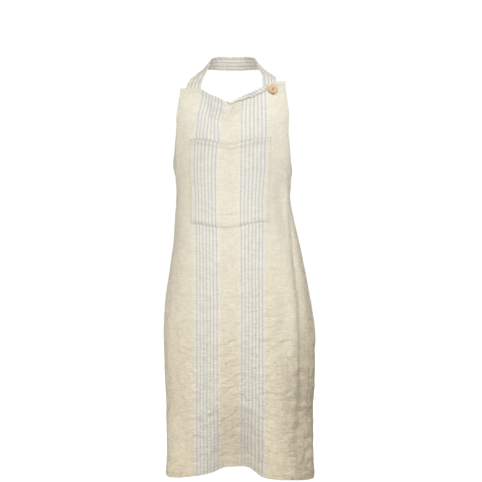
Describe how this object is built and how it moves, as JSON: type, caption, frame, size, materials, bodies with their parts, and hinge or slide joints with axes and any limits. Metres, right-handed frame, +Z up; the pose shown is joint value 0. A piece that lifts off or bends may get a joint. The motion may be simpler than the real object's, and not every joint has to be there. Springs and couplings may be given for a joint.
{
  "type": "bib apron",
  "caption": "Full-length linen bib apron in its worn shape, with a striped halter neck strap fastened by a wooden button, a chest patch pocket and waist ties in a bow.",
  "frame": {"origin": "bottom centre of the whole object's bounding box, under the middle of the hem", "axes": "+Z up the apron from hem to neck strap, -Y out of its front, +X to the wearer's left"},
  "size_m": [0.3568, 0.2484, 0.9779],
  "materials": {
    "linen_natural": "natural slubby linen with two bands of thin pale blue lines",
    "linen_pocket": "the same linen",
    "strap_linen": "off-white linen band with thin pale blue lines",
    "tie_linen": "natural linen",
    "button_wood": "oiled pale wood",
    "thread_button": "brown thread",
    "thread_cotton": "matt sewing thread"
  },
  "bodies": {
    "apron": {"apron_body": "linen_natural", "chest_pocket": "linen_pocket", "neck_strap_sewn_end": "strap_linen", "neck_strap_button_end": "strap_linen", "waist_tie_left": "tie_linen", "waist_tie_right": "tie_linen", "tie_knot": "tie_linen", "armhole_stitch_left": "thread_cotton", "armhole_stitch_right": "thread_cotton", "bib_hem_stitch": "thread_cotton", "buttonhole_stitch": "thread_cotton", "neck_strap_box_stitch": "thread_cotton", "pocket_bartack_left": "thread_cotton", "pocket_bartack_right": "thread_cotton", "pocket_hem_stitch": "thread_cotton", "pocket_stitching": "thread_cotton", "side_hem_stitch_left": "thread_cotton", "side_hem_stitch_right": "thread_cotton", "skirt_hem_stitch": "thread_cotton", "tie_bartack_left": "thread_cotton", "tie_bartack_right": "thread_cotton"},
    "neck_strap": {"neck_strap_loop": "strap_linen"},
    "button": {"bib_button": "button_wood", "button_thread": "thread_button"},
    "bow_left": {"bow_loop_left": "tie_linen"},
    "bow_right": {"bow_loop_right": "tie_linen"},
    "tail_left": {"tie_tail_left": "tie_linen"},
    "tail_right": {"tie_tail_right": "tie_linen"}
  },
  "joints": [
    {"name": "neck_strap_flop", "type": "hinge", "parent": "apron", "child": "neck_strap", "pos_m": [-0.01855, -0.05473, 0.89454], "axis": [0.9954, 0.0338, 0.09], "range_deg": [-40, 85]},
    {"name": "button_turn", "type": "hinge", "parent": "apron", "child": "button", "pos_m": [0.0764, -0.06857, 0.87883], "axis": [0.1652, -0.8757, 0.4538], "range_deg": [-30, 30]},
    {"name": "bow_left_flop", "type": "hinge", "parent": "apron", "child": "bow_left", "pos_m": [-0.00395, 0.10612, 0.62505], "axis": [0, 1, 0], "range_deg": [-15, 25]},
    {"name": "bow_right_flop", "type": "hinge", "parent": "apron", "child": "bow_right", "pos_m": [-0.00395, 0.10612, 0.62505], "axis": [0, 1, 0], "range_deg": [-25, 15]},
    {"name": "tail_left_swing", "type": "hinge", "parent": "apron", "child": "tail_left", "pos_m": [-0.00395, 0.10612, 0.62505], "axis": [0, 1, 0], "range_deg": [-10, 25]},
    {"name": "tail_right_swing", "type": "hinge", "parent": "apron", "child": "tail_right", "pos_m": [-0.00395, 0.10612, 0.62505], "axis": [0, 1, 0], "range_deg": [-25, 10]}
  ]
}
